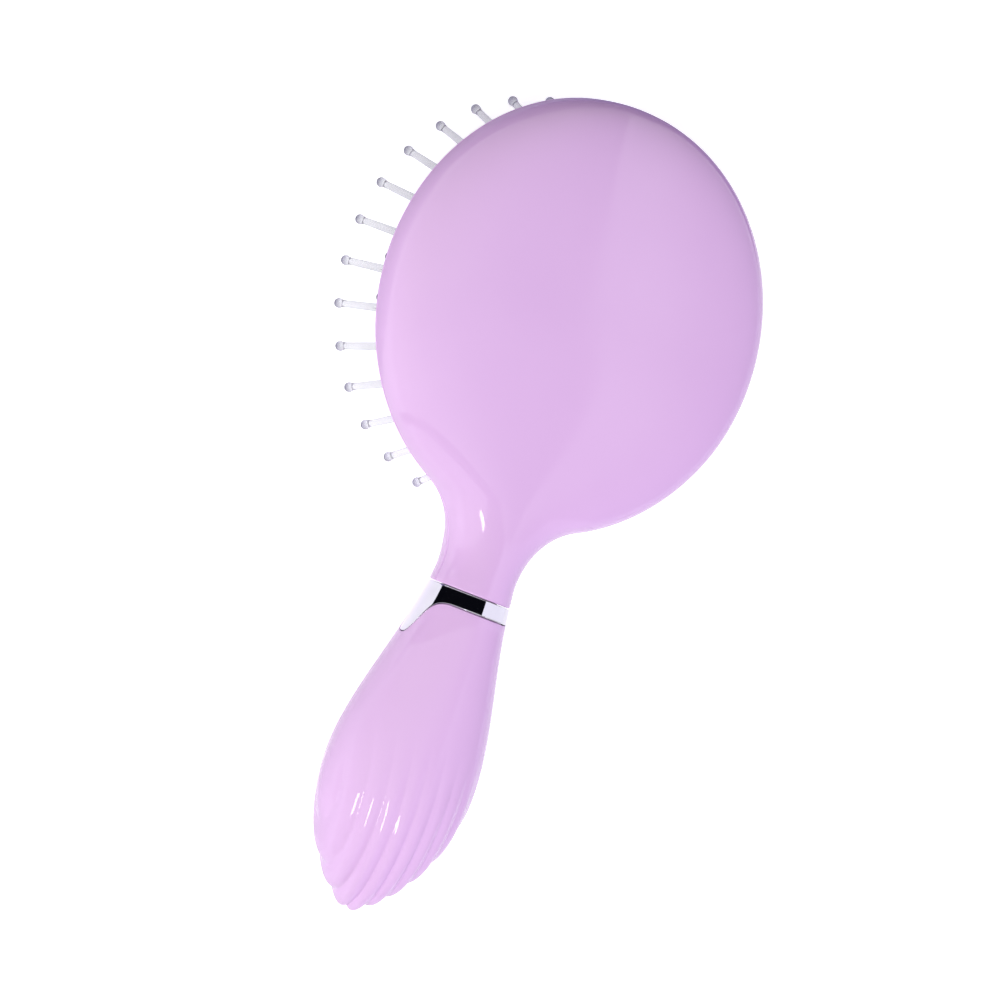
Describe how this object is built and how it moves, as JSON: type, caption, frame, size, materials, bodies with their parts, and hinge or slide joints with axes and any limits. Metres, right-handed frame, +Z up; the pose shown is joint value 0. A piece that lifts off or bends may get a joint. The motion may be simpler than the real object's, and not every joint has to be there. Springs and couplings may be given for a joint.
{
  "type": "cushion detangling hairbrush",
  "caption": "Round-headed cushion hairbrush with ball-tipped pins in a domed rubber pad, a glossy domed back, a bright collar and a handle fluted like a shell.",
  "frame": {"origin": "centre of the box on the floor plane, level with the tip of the centre pin", "axes": "+X across the brush, +Y along it from the handle's end to the top of the head, +Z up through the domed back, so the pins point down"},
  "size_m": [0.0878, 0.1702, 0.039],
  "materials": {
    "shell_plastic": "high gloss, pale lilac, injection moulded",
    "pad_rubber": "smooth, soft, pale",
    "pin_plastic": "clear, smooth, moulded",
    "inner_plastic": "plain, not seen from outside",
    "collar_metal": "bright mirror plating"
  },
  "bodies": {
    "brush_body": {"back_shell": "shell_plastic", "front_frame": "shell_plastic", "cushion_pad": "pad_rubber", "pad_clamp_ring": "inner_plastic", "collar": "collar_metal", "handle_back": "shell_plastic", "handle_front": "shell_plastic", "tang": "inner_plastic"},
    "outer_pins": {"pins_ring_1": "pin_plastic"},
    "second_pins": {"pins_ring_2": "pin_plastic"},
    "third_pins": {"pins_ring_3": "pin_plastic"},
    "inner_pins": {"pins_ring_4": "pin_plastic", "centre_pin": "pin_plastic"}
  },
  "joints": [
    {"name": "cushion_press", "type": "slide", "parent": "brush_body", "child": "second_pins", "axis": [0, 0, 1], "range_m": [0, 0.003], "stiffness_N_per_m": 150, "springref_m": -0.001, "deforming": ["cushion_pad"]},
    {"name": "outer_press", "type": "slide", "parent": "brush_body", "child": "outer_pins", "axis": [0, 0, 1], "range_m": [0, 0.00115], "stiffness_N_per_m": 150, "springref_m": -0.001},
    {"name": "third_press", "type": "slide", "parent": "brush_body", "child": "third_pins", "axis": [0, 0, 1], "range_m": [0, 0.0038], "stiffness_N_per_m": 150, "springref_m": -0.001},
    {"name": "inner_press", "type": "slide", "parent": "brush_body", "child": "inner_pins", "axis": [0, 0, 1], "range_m": [0, 0.004], "stiffness_N_per_m": 150, "springref_m": -0.001}
  ],
  "couplings": [
    {"joint": "outer_press", "follows": "cushion_press", "ratio": 0.3804},
    {"joint": "third_press", "follows": "cushion_press", "ratio": 1.2539},
    {"joint": "inner_press", "follows": "cushion_press", "ratio": 1.3277}
  ]
}
